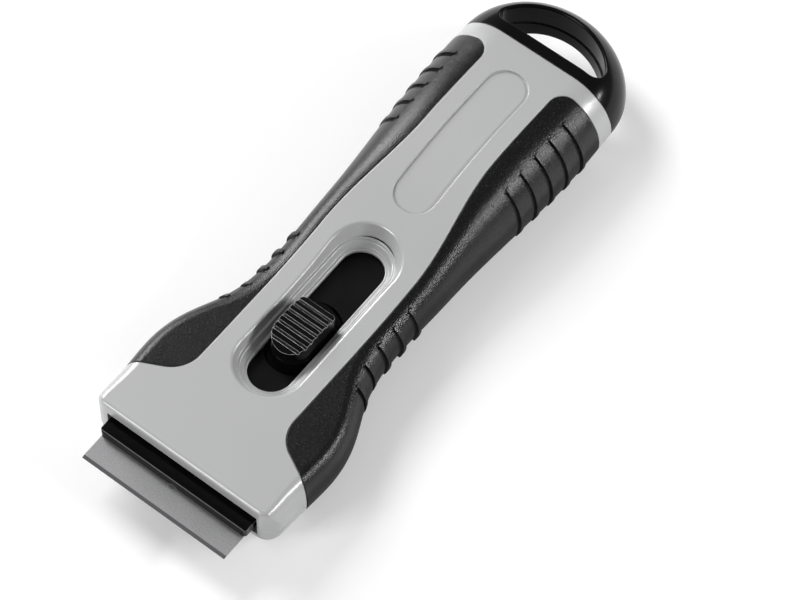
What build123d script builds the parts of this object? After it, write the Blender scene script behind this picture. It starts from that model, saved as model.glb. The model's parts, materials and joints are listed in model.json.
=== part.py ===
from build123d import *
from math import atan, degrees, sqrt
import os

# Ceramic hob scraper with a retractable blade, in millimetres.
# X runs across the handle, Y from the mouth (0) to the hanging loop, Z up from the flat back.
# Every part is written about the middle of the whole length, so the origin lies on the back.

# ---------------------------------------------------------------- driving dimensions
# Moulded handle, seen from above
BODY_LENGTH = 128.0        # mouth to the joint with the hanging loop
MOUTH_SIDE = 4.1           # from the mouth's end to the widest side at the front
HEAD_SWELL = 1.2           # the head is this much wider behind the mouth
WAIST_HALF = 18.4          # half width of the waist
TAIL_HALF = 21.45          # half width of the palm end
HEAD_SHOULDER = 4.0        # rounded shoulder outside the flat top face, at the head
WAIST_SHOULDER = 5.2       # the same at the waist, where the side grips start
TAIL_SHOULDER = 11.65      # the same at the palm end
HEAD_LENGTH = 22.0         # mouth to where the head starts to narrow
WAIST_START = 47.0
WAIST_END = 66.0
TAIL_RUN = 7.0             # even width before the loop
PALM_FLAT_RUN = 30.0       # even width of the flat face before the loop
FRONT_CORNER = 4.2         # radius of the head's front corners in plan
CORNER_BITE = 0.1          # keeps that round's line just outside the sides
FRONT_EDGE = 0.9           # round along the top edge of the mouth

# Moulded handle, seen from the side
PARTING = 8.0              # height of the joint between the shells
FRONT_TOP = 15.9           # top face above the back at the mouth
WAIST_TOP = 14.1           # lowest point of the top face
WAIST_LOW = 52.0           # where that lowest point lies
PALM_TOP = 21.0            # crown of the palm swell
CROWN_BACK = 25.0          # crown to the joint with the loop
END_TOP = 19.9             # top face at the joint with the loop
FOOT_WIDTH = 5.5           # how far the underside is rounded in from the sides
FRONT_LIFT = 3.2           # underside above the back at the mouth
FRONT_HEEL = 14.0          # length of that lift
END_LIFT = 4.4             # underside above the back at the loop
END_HEEL = 18.0            # length of that lift
BACK_FLAT = 0.6            # depth of material planed off to leave the flat back

# Walls
GRIP_THICK = 1.5
SHELL_WALL = 1.5
MOUTH_WALL = 1.8           # front wall that the mouth opens through
SEAM_WIDTH = 0.2           # fine gap where two outer pieces meet
SEAM_DEPTH = 0.35

# Side grips
GRIP_FRONT = 11.1          # where the grip's front seam meets the widest side
GRIP_LOBE = 17.8           # where that seam would cross the long seam
LOBE_RADIUS = 8.0
END_BAND = 5.0             # bare shell between the grip and the loop
GRIP_END_RADIUS = 4.0
RIB_WIDTH = 1.0
RIB_RISE = 0.3
GROOVE_DEPTH = 0.5
RIB_PITCH = 5.4
FRONT_RIBS = 5
FRONT_RIB_START = 38.5
REAR_RIBS = 5
REAR_RIB_BACK = 27.3       # first rear rib to the grip's rear end
FRONT_RIB_GAP = 2.5        # front ribs start this far outside the flat top face
REAR_RIB_GAP = 5.6         # the same for the rear ribs
RIB_LOW = 2.5              # ribs stop this high above the back
RIB_ROOT = 0.7             # depth to which a rib is one with the grip

# Thumb slot
SLOT_START = 30.9          # first centre of the stadium
SLOT_END = 62.7            # second centre
SLOT_HALF = 5.35           # half width of the opening
DISH_HALF = 8.3            # half width of the sunk rim at the top face
STEP_HALF = 6.9            # half width at the step in the rim
LIP_TOP = 10.7             # height of the rim's inner lip
STEP_TOP = 12.3            # height of the step
LIP_THICK = 1.0
LIP_LEDGE = 0.75           # level ledge on the lip
STEP_LEDGE = 0.55          # level ledge on the step
FUNNEL_HALF = 7.7          # half width of the wall that hangs down round the slot
RIM_ROUND = 0.7            # round where the rim meets the top face
LEDGE_ROUND = 0.3          # rounds on the step's and lip's inner edges

# Name recess
RECESS_LENGTH = 43.1
RECESS_BACK = 7.4          # its rear end to the joint with the loop
RECESS_HALF = 5.35
RECESS_DEPTH = 0.45

# Mouth and blade holder
MOUTH_CLEAR = 0.5          # beside the blade holder, each side
MOUTH_LOW = 4.9
MOUTH_TOP = 12.3
BLADE_WIDTH = 39.5
BLADE_LENGTH = 19.0
BLADE_THICK = 0.3
BLADE_REACH = 10.0         # sharp edge in front of the mouth
BLADE_SHOWN = 6.6          # bare blade in front of the clamp
BEVEL_LENGTH = 0.8
BLADE_SLOT_WIDTH = 3.0
BLADE_SLOT_LENGTH = 8.0
BLADE_SLOT_SHOWN = 0.5     # how far that slot peeps out under the clamp
HOLDER_CHEEK = 0.45        # holder beyond the blade's ends
JAW_SETBACK = 0.5          # jaw's front edge behind the clamp's
JAW_INSET = 1.0            # jaw's ends inside the blade's
JAW_POCKETS = 6            # coring under the jaw
JAW_RIB = 1.2
JAW_SKIN = 1.0
CLAMP_BAR = 2.45           # clamp above the blade at its front bar
CLAMP_BAR_LENGTH = 5.2
CLAMP_ROUND = 0.9
CLAMP_PLATE = 1.2
STUD_RISE = 0.9            # stud above the blade
HOLDER_TAIL_HALF = 15.0
HOLDER_TAIL = 4.6

# Slider and button
TRAVEL_OUT = 8.0           # forward from the pictured place, to change the blade
TRAVEL_BACK = 16.0         # back from it, until the blade is covered
PLATE_HALF = 9.0
PLATE_THICK = 1.8
PLATE_SPARE = 1.0          # plate still covers the slot by this much at full reach
BUTTON_Y = 41.0            # middle of the cap
BUTTON_HALF = 4.95         # half width of the stem in the slot
STEM_RIM = 0.2             # stem in front of the cap
STEM_TAIL = 2.7            # stem behind the cap
STEM_TOP = 11.3
CAP_LENGTH = 14.2
CAP_HALF = 4.7
CAP_CORNER = 1.2           # plan radius of the cap's rear corners
CAP_TOP = 16.5
CAP_CROWN = 16.0           # radius of the crowned top
CAP_RIDGES = 8
CAP_GROOVE = 0.55          # depth of the grooves between them
CAP_GROOVE_WIDTH = 0.6
CAP_NOSE_FLAT = 0.1        # half the flat left on the cap's round front
FLANGE_HALF = 6.2
FLANGE_THICK = 1.1
LOCK_TEETH = 4             # on each side of the flange
TOOTH_HEIGHT = 0.8
TOOTH_PITCH = 2.0
TOOTH_WIDTH = 0.8
RACK_SETBACK = 0.35        # rack's teeth behind the slot's edge
RACK_WIDTH = 0.9
WELL_WALL = 0.9
SPRING_RADIUS = 2.5
SPRING_WIRE = 0.5
SPRING_TURNS = 2.5
SPRING_END_GAP = 0.1

# Rails, bosses and screws
RAIL_THICK = 1.2
LEDGE_WIDTH = 1.4
BOSS_RADIUS = 2.5
SCREW_RADIUS = 1.1
SCREW_HEAD_RADIUS = 2.1
SCREW_HEAD = 1.5
SCREW_LENGTH = 8.5         # under the head
SCREW_SINK = 1.0
PAD_WALL = 1.0             # wall round and above a sunk screw head
PALM_SCREW_X = 6.5         # off the middle, each side
TAIL_SCREW_X = 7.4
TAIL_SCREW_BACK = 6.5      # to the joint with the loop

# Snap hooks that hold the shells together at the head
HOOK_Y = 19.0
HOOK_LENGTH = 6.0
HOOK_THICK = 1.2
HOOK_STANDOFF = 0.8        # from the inside of the wall
HOOK_DROP = 2.7            # below the parting
HOOK_BARB = 0.35
BARB_HEIGHT = 1.0

# Hanging loop
LOOP_LENGTH = 18.9
LOOP_LIFT = 4.9            # the underside rises this much towards the tip
LOOP_BAR = 3.4             # solid bar between the body and the hole
HOLE_HALF = 15.8           # half width of the oval that the hole is cut from
HOLE_DEPTH = 13.4          # its far point behind the body
HOLE_CORNER = 2.5
HOLE_LEDGE = 11.0          # height of the ledge inside the hole
HOLE_STEP = 0.3            # width of that ledge
HOLE_TAPER = 2.0           # degrees of narrowing below it
HOLE_ROUND = 0.5           # round along its upper rim
SPIGOT_LENGTH = 11.0
SPIGOT_WALL = 1.6

# Clearances
SLIDE_GAP = 0.15           # sliding faces, each side
LOOSE_GAP = 0.3            # parts that only pass each other
FIT_GAP = 0.1              # spigots and screws in their holes
TOOTH_GAP = 0.1            # lock teeth just out of mesh at rest

# ---------------------------------------------------------------- places worked out from them
HOLDER_HALF = BLADE_WIDTH / 2.0 + HOLDER_CHEEK
JAW_HALF = BLADE_WIDTH / 2.0 - JAW_INSET
MOUTH_HALF = HOLDER_HALF + MOUTH_CLEAR
FRONT_HALF = MOUTH_HALF + MOUTH_SIDE
HEAD_HALF = FRONT_HALF + HEAD_SWELL
HEAD_FLAT = HEAD_HALF - HEAD_SHOULDER
WAIST_FLAT = WAIST_HALF - WAIST_SHOULDER
TAIL_FLAT = TAIL_HALF - TAIL_SHOULDER
TAIL_START = BODY_LENGTH - TAIL_RUN
PALM_FLAT_START = BODY_LENGTH - PALM_FLAT_RUN
PALM_CROWN = BODY_LENGTH - CROWN_BACK
GRIP_END = BODY_LENGTH - END_BAND
REAR_RIB_START = GRIP_END - REAR_RIB_BACK
RECESS_END = BODY_LENGTH - RECESS_BACK
RECESS_START = RECESS_END - RECESS_LENGTH
BLADE_EDGE = -BLADE_REACH
HOLDER_FRONT = BLADE_EDGE + BLADE_SHOWN
BLADE_BACK = BLADE_EDGE + BLADE_LENGTH
BLADE_TOP = PARTING
BLADE_LOW = BLADE_TOP - BLADE_THICK
BLADE_SLOT_FRONT = HOLDER_FRONT - BLADE_SLOT_SHOWN
STUD_RADIUS = BLADE_SLOT_WIDTH / 2.0 - FIT_GAP
HOLDER_BACK = BLADE_BACK + SLIDE_GAP
HOLDER_END = HOLDER_BACK + HOLDER_TAIL
LIP_LOW = LIP_TOP - LIP_THICK
RACK_LOW = LIP_LOW - TOOTH_HEIGHT
RACK_MIDDLE = SLOT_HALF + RACK_SETBACK + RACK_WIDTH / 2.0
PLATE_TOP = RACK_LOW - SLIDE_GAP
PLATE_LOW = PLATE_TOP - PLATE_THICK
PLATE_END = SLOT_END + SLOT_HALF + TRAVEL_OUT + PLATE_SPARE
RAIL_START = HOLDER_END + TRAVEL_BACK + LOOSE_GAP
RAIL_END = PLATE_END + TRAVEL_BACK + LOOSE_GAP
FLANGE_TOP = RACK_LOW - TOOTH_GAP - TOOTH_HEIGHT
FLANGE_LOW = FLANGE_TOP - FLANGE_THICK
CAVITY_INSET = GRIP_THICK + SHELL_WALL
WELL_LOW = CAVITY_INSET - BACK_FLAT + LOOSE_GAP
WELL_FLOOR = WELL_LOW + WELL_WALL
PAD_RADIUS = SCREW_HEAD_RADIUS + FIT_GAP + PAD_WALL
PALM_SCREW_Y = RAIL_END + PAD_RADIUS + LOOSE_GAP
TAIL_SCREW_Y = BODY_LENGTH - TAIL_SCREW_BACK
LOOP_END = BODY_LENGTH + LOOP_LENGTH
MIDDLE = (BLADE_EDGE + LOOP_END) / 2.0
BIG = 400.0                # larger than the whole handle, for cutting


# ---------------------------------------------------------------- shape of the handle
def blend(y, start, end, first, last):
    """Ease from first at start to last at end, level at both."""
    t = min(max((y - start) / (end - start), 0.0), 1.0)
    return first + (last - first) * t * t * (3.0 - 2.0 * t)


def half_width(y):
    if y < HEAD_LENGTH:
        return HEAD_HALF - (HEAD_HALF - FRONT_HALF) * (1.0 - y / HEAD_LENGTH) ** 2
    if y < WAIST_END:
        return blend(y, HEAD_LENGTH, WAIST_START, HEAD_HALF, WAIST_HALF)
    return blend(y, WAIST_END, TAIL_START, WAIST_HALF, TAIL_HALF)


def flat_half(y):
    if y < WAIST_END:
        return blend(y, HEAD_LENGTH, WAIST_START, HEAD_FLAT, WAIST_FLAT)
    return blend(y, WAIST_END, PALM_FLAT_START, WAIST_FLAT, TAIL_FLAT)


def top_height(y):
    if y < WAIST_LOW:
        return WAIST_TOP + (FRONT_TOP - WAIST_TOP) * (1.0 - y / WAIST_LOW) ** 2
    if y < PALM_CROWN:
        return blend(y, WAIST_LOW, PALM_CROWN, WAIST_TOP, PALM_TOP)
    return PALM_TOP - (PALM_TOP - END_TOP) * ((y - PALM_CROWN) / (BODY_LENGTH - PALM_CROWN)) ** 2


def floor_height(y):
    front = max(1.0 - y / FRONT_HEEL, 0.0)
    end = max(1.0 - (BODY_LENGTH - y) / END_HEEL, 0.0)
    return -BACK_FLAT + (FRONT_LIFT + BACK_FLAT) * front ** 2 + (END_LIFT + BACK_FLAT) * end ** 2


def quarter(start, corner, end):
    """Quarter ellipse from start to end that bends towards corner."""
    ease = 0.5523
    first = start + (corner - start) * ease
    last = end + (corner - end) * ease
    return Bezier(start, first, last, end)


def section(y, inset):
    """Cross-section of the handle at y, drawn in by inset all round."""
    half = half_width(y) - inset
    flat = flat_half(y)
    top = top_height(y) - inset
    low = floor_height(y) + inset
    foot = half_width(y) - FOOT_WIDTH
    edges = []
    for side in (1, -1):
        edges.append(quarter(Vector(side * flat, y, top), Vector(side * half, y, top),
                             Vector(side * half, y, PARTING)))
        edges.append(quarter(Vector(side * half, y, PARTING), Vector(side * half, y, low),
                             Vector(side * foot, y, low)))
    edges.append(Line((-flat, y, top), (flat, y, top)))
    edges.append(Line((-foot, y, low), (foot, y, low)))
    return Face(Wire(edges))


def stations():
    """Places of the cross-sections, closer together where the outline turns."""
    turn = (WAIST_START - HEAD_LENGTH) / 3.0
    swell = (PALM_CROWN - WAIST_END) / 3.0
    return [0.0, FRONT_HEEL / 2.0, FRONT_HEEL, HEAD_LENGTH, HEAD_LENGTH + turn, HEAD_LENGTH + 2.0 * turn,
            WAIST_START, WAIST_END, WAIST_END + swell, WAIST_END + 2.0 * swell, PALM_CROWN,
            BODY_LENGTH - END_HEEL, BODY_LENGTH - END_HEEL / 2.0, BODY_LENGTH]


def body_form(inset):
    """The handle's outer form, or the same form drawn in by inset."""
    return loft([section(y, inset) for y in stations()])


def slab(low, high):
    """Everything between two heights."""
    return Pos(0, 0, low) * standing(BIG, 2 * BIG, high - low)


def block(x_half, y_low, y_high, z_low, z_high):
    """Block centred on X."""
    return Pos(0, y_low, z_low) * Box(2 * x_half, y_high - y_low, z_high - z_low,
                                      align=(Align.CENTER, Align.MIN, Align.MIN))


def standing(x, y, z):
    """Box centred in plan that stands on its origin."""
    return Box(x, y, z, align=(Align.CENTER, Align.CENTER, Align.MIN))


def stadium(y_start, y_end, half, z):
    """Face with round ends, lying at height z."""
    shape = SlotCenterToCenter(y_end - y_start, 2 * half, rotation=90)
    return Pos(0, (y_start + y_end) / 2.0, z) * shape


def mirrored(shape):
    return mirror(shape, about=Plane.YZ)


def plan_outline():
    """Plan of the body with rounded front corners, to trim the lofted form."""
    half = FRONT_HALF + CORNER_BITE
    flare = 2.0 * HEAD_SWELL / HEAD_LENGTH
    plan = make_face(Polyline((-half, 0), (half, 0), (half + flare * BODY_LENGTH, BODY_LENGTH),
                              (-half - flare * BODY_LENGTH, BODY_LENGTH), close=True))
    return fillet(plan.vertices().group_by(Axis.Y)[0], FRONT_CORNER)


def outer_body():
    """The closed handle with its flat back, rounded front corners and softened mouth edge."""
    body = body_form(0.0) & slab(0.0, BIG) & extrude(plan_outline(), BIG)
    front = body.edges().filter_by_position(Axis.Y, -0.01, 0.01).sort_by(Axis.Z)[-1]
    return fillet(front, FRONT_EDGE)


# ---------------------------------------------------------------- side grips
def grip_plan(grow=0.0):
    """Plan area of the right grip, or the same area a little larger."""
    near = WAIST_FLAT - grow
    far = TAIL_FLAT - grow
    wide = 2.0 * HEAD_HALF
    slope = (GRIP_FRONT - GRIP_LOBE) / (HEAD_HALF - WAIST_FLAT)
    third = (PALM_FLAT_START - WAIST_END) / 3.0
    lobe = (near, GRIP_LOBE - grow)
    front = (wide, GRIP_LOBE - grow + slope * (wide - near))
    end = (far, GRIP_END + grow)
    swell = Bezier((near, WAIST_END), (near, WAIST_END + third),
                   (far, PALM_FLAT_START - third), (far, PALM_FLAT_START))
    plan = make_face([Line(lobe, (near, WAIST_END)), swell, Line((far, PALM_FLAT_START), end),
                      Line(end, (wide, GRIP_END + grow)), Line((wide, GRIP_END + grow), front),
                      Line(front, lobe)])
    for place, radius in ((end, GRIP_END_RADIUS), (lobe, LOBE_RADIUS)):
        corner = plan.vertices().sort_by_distance((*place, 0))[0]
        plan = fillet(corner, radius + grow)
    return plan


def grip_zone(grow=0.0):
    """That area through the whole height."""
    return Pos(0, 0, -BIG / 2.0) * extrude(grip_plan(grow), BIG)


def grip_skin(body):
    """Plain right grip: a skin of even thickness over the core."""
    return (body & grip_zone()) - body_form(GRIP_THICK)


def rib_places():
    """Y of every rib along the grip, and how far outside the flat top face it starts."""
    front = [(FRONT_RIB_START + i * RIB_PITCH, FRONT_RIB_GAP) for i in range(FRONT_RIBS)]
    rear = [(REAR_RIB_START + i * RIB_PITCH, REAR_RIB_GAP) for i in range(REAR_RIBS)]
    return front + rear


def skin_band(y, gap, outer, inner):
    """Band round the right side at y, one rib wide, between two insets."""
    ends = (y - RIB_WIDTH / 2.0, y + RIB_WIDTH / 2.0)
    hoop = loft([section(e, outer) for e in ends], ruled=True)
    hoop = hoop - loft([section(e, inner) for e in ends], ruled=True)
    side = Box(BIG, BIG, BIG, align=(Align.MIN, Align.CENTER, Align.MIN))
    return hoop & (Pos(flat_half(y) + gap, y, RIB_LOW) * side)


def right_grip(skin):
    """Soft grip with raised ribs, each with a groove in front of it."""
    for y, gap in rib_places():
        skin = skin - skin_band(y - RIB_WIDTH, gap, -RIB_RISE, GROOVE_DEPTH)
        skin = skin + skin_band(y, gap, -RIB_RISE, RIB_ROOT)
    return skin


# ---------------------------------------------------------------- fine gaps between outer pieces
def grip_seam(inside):
    """Groove in the shells along the right grip's edge."""
    return grip_zone(SEAM_WIDTH) - grip_zone() - inside


def shell_seam(inside):
    """Grooves along the parting and at the joint with the loop."""
    parting = slab(PARTING - SEAM_WIDTH / 2.0, PARTING + SEAM_WIDTH / 2.0)
    joint = block(BIG, BODY_LENGTH - SEAM_WIDTH, BODY_LENGTH, -BIG, BIG)
    return (parting + joint) - inside


# ---------------------------------------------------------------- case screws
def screw_places():
    """X and Y of the four case screws."""
    pairs = ((PALM_SCREW_X, PALM_SCREW_Y), (TAIL_SCREW_X, TAIL_SCREW_Y))
    return [(side * x, y) for x, y in pairs for side in (1, -1)]


def head_seat(y):
    """Height at which a screw's head starts, sunk into the underside."""
    return max(floor_height(y), 0.0) + SCREW_SINK


def post(place, radius, low, high):
    """Upright round post at one screw."""
    shaft = Cylinder(radius, high - low, align=(Align.CENTER, Align.CENTER, Align.MIN))
    return Pos(place[0], place[1], low) * shaft


def case_screws():
    """Four equal screws that clamp the shells together."""
    screws = []
    for place in screw_places():
        seat = head_seat(place[1])
        head = post(place, SCREW_HEAD_RADIUS, seat, seat + SCREW_HEAD)
        screws.append(head + post(place, SCREW_RADIUS, seat + SCREW_HEAD, seat + SCREW_HEAD + SCREW_LENGTH))
    return Compound(screws)


# ---------------------------------------------------------------- shells
def hollow():
    """Hollow of the closed handle, shut at the mouth and open towards the loop."""
    return body_form(CAVITY_INSET) & block(BIG, MOUTH_WALL, BODY_LENGTH, -BIG, BIG)


def mouth():
    """Opening in the front wall that the blade holder slides through."""
    return block(MOUTH_HALF, -MOUTH_WALL, 2.0 * MOUTH_WALL, MOUTH_LOW, MOUTH_TOP)


def spread(rise, low_half, high_half):
    """Taper that widens an extrusion from one half width to the other."""
    return -degrees(atan((high_half - low_half) / rise))


def dish_cut():
    """The sunk rim round the thumb slot: two sloping steps and the through opening."""
    rim_low = STEP_HALF + STEP_LEDGE
    rim = extrude(stadium(SLOT_START, SLOT_END, rim_low, STEP_TOP), PALM_TOP - STEP_TOP,
                  taper=spread(WAIST_TOP - STEP_TOP, rim_low, DISH_HALF))
    step_low = SLOT_HALF + LIP_LEDGE
    step = extrude(stadium(SLOT_START, SLOT_END, step_low, LIP_TOP), STEP_TOP - LIP_TOP,
                   taper=spread(STEP_TOP - LIP_TOP, step_low, STEP_HALF))
    through = extrude(stadium(SLOT_START, SLOT_END, SLOT_HALF, 0.0), PALM_TOP)
    return rim + step + through


def rack():
    """Two rows of lock teeth under the lip, one tooth in line with the button's middle."""
    first = -int((BUTTON_Y - SLOT_START) / TOOTH_PITCH)
    last = int((SLOT_END - BUTTON_Y) / TOOTH_PITCH)
    tooth = standing(RACK_WIDTH, TOOTH_WIDTH, LIP_TOP - RACK_LOW)
    teeth = [Pos(side * RACK_MIDDLE, BUTTON_Y + k * TOOTH_PITCH, RACK_LOW) * tooth
             for k in range(first, last + 1) for side in (1, -1)]
    return Part() + teeth


def hook_outside():
    """X of the hooks' outer face."""
    return half_width(HOOK_Y) - CAVITY_INSET - HOOK_STANDOFF


def hooks():
    """Two snap hooks that hang from the top shell, with a barb at the foot of each."""
    low = PARTING - HOOK_DROP
    tab = standing(HOOK_THICK, HOOK_LENGTH, FRONT_TOP - low)
    barb = standing(HOOK_BARB, HOOK_LENGTH, BARB_HEIGHT)
    pair = Part()
    for side in (1, -1):
        pair += Pos(side * (hook_outside() - HOOK_THICK / 2.0), HOOK_Y, low) * tab
        pair += Pos(side * (hook_outside() + HOOK_BARB / 2.0), HOOK_Y, low) * barb
    return pair


def catches():
    """Ledges on the bottom shell's walls that the barbs snap under."""
    low = PARTING - HOOK_DROP + BARB_HEIGHT + FIT_GAP
    reach = HOOK_STANDOFF - FIT_GAP + SHELL_WALL
    middle = hook_outside() + FIT_GAP + reach / 2.0
    ledge = standing(reach, HOOK_LENGTH, BARB_HEIGHT)
    return Part() + [Pos(side * middle, HOOK_Y, low) * ledge for side in (1, -1)]


def slot_edges(shell, half, low, high):
    """Edges round the thumb slot, within half of the middle and between two heights."""
    def near(edge):
        box = edge.bounding_box()
        return (max(box.max.X, -box.min.X) < half and low < box.min.Z and box.max.Z < high
                and SLOT_START - 2.0 * DISH_HALF < box.min.Y and box.max.Y < RECESS_START)

    return shell.edges().filter_by(near)


def soften(shell):
    """Rounds on the rim of the thumb slot and on its two ledges."""
    outside = (DISH_HALF + WAIST_FLAT) / 2.0
    shell = fillet(slot_edges(shell, outside, STEP_TOP + RIM_ROUND, PALM_TOP), RIM_ROUND)
    for height, half in ((STEP_TOP, STEP_HALF), (LIP_TOP, SLOT_HALF)):
        shell = fillet(slot_edges(shell, half + FIT_GAP, height - FIT_GAP, height + FIT_GAP), LEDGE_ROUND)
    return shell


def top_shell(core, space):
    """Upper half of the case with the dished thumb slot, the recess, screw bosses and hooks."""
    funnel = extrude(stadium(SLOT_START, SLOT_END, FUNNEL_HALF, LIP_LOW), PALM_TOP)
    bosses = Part() + [post(p, BOSS_RADIUS, PARTING, PALM_TOP) for p in screw_places()]
    space = (space & slab(PARTING, BIG)) - funnel - bosses - rack() - hooks()
    holes = Part() + [post(p, SCREW_RADIUS, PARTING, head_seat(p[1]) + SCREW_HEAD + SCREW_LENGTH)
                      for p in screw_places()]
    shell = (core & slab(PARTING, BIG)) - space - mouth() - dish_cut() - name_recess() - holes
    return soften(shell + (hooks() & slab(0.0, PARTING)))


def name_recess():
    """Shallow stadium in the palm, sunk evenly below the curved face."""
    area = stadium(RECESS_START + RECESS_HALF, RECESS_END - RECESS_HALF, RECESS_HALF, PARTING)
    return extrude(area, PALM_TOP) - body_form(RECESS_DEPTH)


def rails():
    """Guide walls for the slider, each with a ledge that carries it."""
    inner = PLATE_HALF + SLIDE_GAP
    middle = (RAIL_START + RAIL_END) / 2.0
    wall = standing(RAIL_THICK, RAIL_END - RAIL_START, PARTING)
    ledge = standing(LEDGE_WIDTH, RAIL_END - RAIL_START, PLATE_LOW - SLIDE_GAP)
    pair = Part()
    for side in (1, -1):
        pair += Pos(side * (inner + RAIL_THICK / 2.0), middle, 0) * wall
        pair += Pos(side * (inner - LEDGE_WIDTH / 2.0), middle, 0) * ledge
    return pair


def bottom_shell(core, space):
    """Lower half of the case with the slider's rails and the screw tubes."""
    tubes = Part() + [post(p, BOSS_RADIUS, 0.0, PARTING) for p in screw_places()]
    pads = Part() + [post(p, PAD_RADIUS, 0.0, head_seat(p[1]) + SCREW_HEAD + PAD_WALL)
                     for p in screw_places()]
    space = (space & slab(-BIG, PARTING)) - tubes - pads - rails() - catches()
    bores = Part() + [post(p, SCREW_RADIUS + FIT_GAP, 0.0, PARTING) for p in screw_places()]
    sinks = Part() + [post(p, SCREW_HEAD_RADIUS + FIT_GAP, -SCREW_SINK, head_seat(p[1]) + SCREW_HEAD)
                      for p in screw_places()]
    return (core & slab(-BIG, PARTING)) - space - mouth() - bores - sinks


# ---------------------------------------------------------------- hanging loop
def loop_form():
    """Half dome: the body's end section swept round and shortened, with a sole that rises to the tip."""
    flat = flat_half(BODY_LENGTH)
    low = floor_height(BODY_LENGTH)
    foot = TAIL_HALF - FOOT_WIDTH
    core = LOOP_BAR / 2.0
    upper = quarter(Vector(flat, 0, END_TOP), Vector(TAIL_HALF, 0, END_TOP), Vector(TAIL_HALF, 0, PARTING))
    lower = quarter(Vector(TAIL_HALF, 0, PARTING), Vector(TAIL_HALF, 0, low), Vector(foot, 0, low))
    profile = Face(Wire([Line((core, 0, END_TOP), (flat, 0, END_TOP)), upper, lower,
                         Line((foot, 0, low), (core, 0, low)), Line((core, 0, low), (core, 0, END_TOP))]))
    dome = scale(revolve(profile, Axis.Z, 180), by=(1.0, LOOP_LENGTH / TAIL_HALF, 1.0))
    whole = Pos(0, BODY_LENGTH, 0) * dome
    whole = whole + block(2.0 * core, BODY_LENGTH, BODY_LENGTH + LOOP_BAR, low, END_TOP)
    far = LOOP_END + LOOP_LENGTH
    under = make_face(Polyline((0, BODY_LENGTH, low), (0, far, low + 2.0 * LOOP_LIFT),
                               (0, far, -BIG), (0, BODY_LENGTH, -BIG), close=True))
    return whole - extrude(under, BIG, both=True)


def hole_plan(grow):
    """D-shaped outline of the hanging hole, straight side towards the body."""
    oval = Pos(0, BODY_LENGTH) * Ellipse(HOLE_HALF + grow, HOLE_DEPTH + grow)
    behind = Pos(0, BODY_LENGTH + LOOP_BAR - grow) * Rectangle(BIG, BIG, align=(Align.CENTER, Align.MIN))
    return fillet((oval & behind).vertices(), HOLE_CORNER)


def hanging_hole():
    """Straight upper hole, then a ledge and a lower hole that narrows downwards."""
    upper = extrude(Pos(0, 0, HOLE_LEDGE) * hole_plan(HOLE_STEP), PALM_TOP)
    lower = extrude(Pos(0, 0, HOLE_LEDGE) * hole_plan(0.0), -HOLE_LEDGE, taper=HOLE_TAPER)
    return upper + lower


def eased_hole(loop):
    """Round along the hole's upper rim."""
    reach = HOLE_HALF + HOLE_STEP + FIT_GAP
    rim = loop.edges().filter_by(lambda e: e.bounding_box().min.Z > HOLE_LEDGE + HOLE_ROUND
                                 and max(e.bounding_box().max.X, -e.bounding_box().min.X) < reach
                                 and e.bounding_box().min.Y > BODY_LENGTH + HOLE_ROUND)
    return fillet(rim, HOLE_ROUND)


def hanging_loop():
    """D-shaped loop with a hollow spigot held between the shells by the tail posts."""
    start = BODY_LENGTH - SPIGOT_LENGTH
    inset = CAVITY_INSET + FIT_GAP
    spigot = body_form(inset) & block(BIG, start, BODY_LENGTH, -BIG, BIG)
    pocket = body_form(inset + SPIGOT_WALL) & block(BIG, -BIG, BODY_LENGTH - SPIGOT_WALL, -BIG, BIG)
    eyes = Part() + [post(p, PAD_RADIUS + FIT_GAP, 0.0, PALM_TOP) for p in screw_places()[2:]]
    return eased_hole(loop_form() - hanging_hole()) + (spigot - pocket - eyes)


# ---------------------------------------------------------------- blade and its holder
def slot_centres():
    """Centres of the two round ends of the blade's slot; the stud stands at the rear one."""
    return (BLADE_SLOT_FRONT + BLADE_SLOT_WIDTH / 2.0,
            BLADE_SLOT_FRONT + BLADE_SLOT_LENGTH - BLADE_SLOT_WIDTH / 2.0)


def blade():
    """Thin steel blade, ground on its upper face, with a locating slot."""
    profile = Polyline((0, BLADE_EDGE, BLADE_LOW), (0, BLADE_EDGE + BEVEL_LENGTH, BLADE_TOP),
                       (0, BLADE_BACK, BLADE_TOP), (0, BLADE_BACK, BLADE_LOW), close=True)
    strip = extrude(make_face(profile), BLADE_WIDTH / 2.0, both=True)
    slot = stadium(*slot_centres(), BLADE_SLOT_WIDTH / 2.0, 0.0)
    return strip - extrude(slot, PALM_TOP)


def blade_clamp():
    """Black clamp: a rounded front bar over the blade and a thin plate behind it."""
    bar = block(HOLDER_HALF, HOLDER_FRONT, HOLDER_FRONT + CLAMP_BAR_LENGTH, BLADE_TOP, BLADE_TOP + CLAMP_BAR)
    upper = bar.edges().filter_by(Axis.X).group_by(Axis.Z)[-1]
    ends = bar.edges().filter_by(Axis.Z).group_by(Axis.Y)[0]
    bar = fillet(upper + ends, CLAMP_ROUND)
    plate = block(HOLDER_HALF, HOLDER_FRONT + CLAMP_BAR_LENGTH / 2.0, HOLDER_BACK,
                  BLADE_TOP, BLADE_TOP + CLAMP_PLATE)
    socket = Pos(0, slot_centres()[1], BLADE_TOP) * Cylinder(STUD_RADIUS + FIT_GAP, 2.0 * (STUD_RISE + FIT_GAP))
    return bar + plate - socket


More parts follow.
